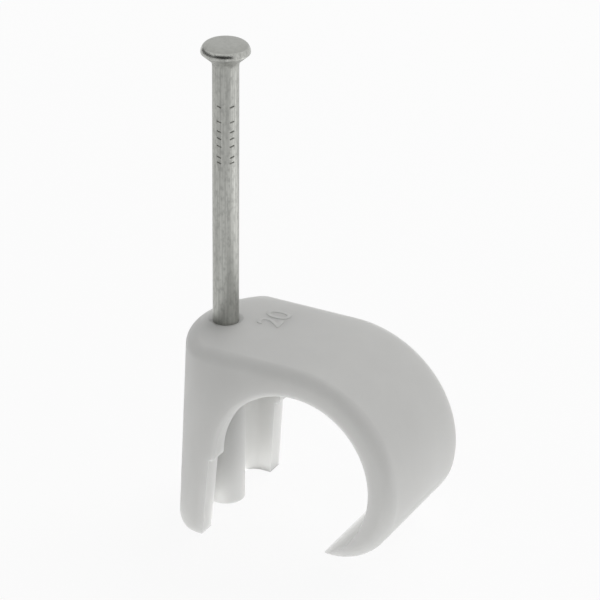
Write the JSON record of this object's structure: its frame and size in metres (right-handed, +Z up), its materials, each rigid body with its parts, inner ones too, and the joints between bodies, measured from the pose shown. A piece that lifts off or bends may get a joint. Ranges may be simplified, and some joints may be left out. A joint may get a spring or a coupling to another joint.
{
  "type": "nail in cable clip",
  "caption": "Moulded plastic hook clip that holds one round cable against a wall, with a steel nail standing ready in its boss.",
  "frame": {"origin": "where the nail's axis meets the wall face, in the plane of the leg's foot", "axes": "+Z up along the nail, away from the wall; +X from the leg towards the hook; +Y along the cable"},
  "size_m": [0.0312, 0.019, 0.0586],
  "materials": {
    "clip_plastic": "satin moulded, light grey",
    "nail_steel": "bright drawn wire"
  },
  "bodies": {
    "clip": {"clip_body": "clip_plastic"},
    "nail": {"nail": "nail_steel"}
  },
  "joints": [
    {"name": "nail_drive", "type": "slide", "parent": "clip", "child": "nail", "axis": [0, 0, -1], "range_m": [0, 0.0324]}
  ]
}
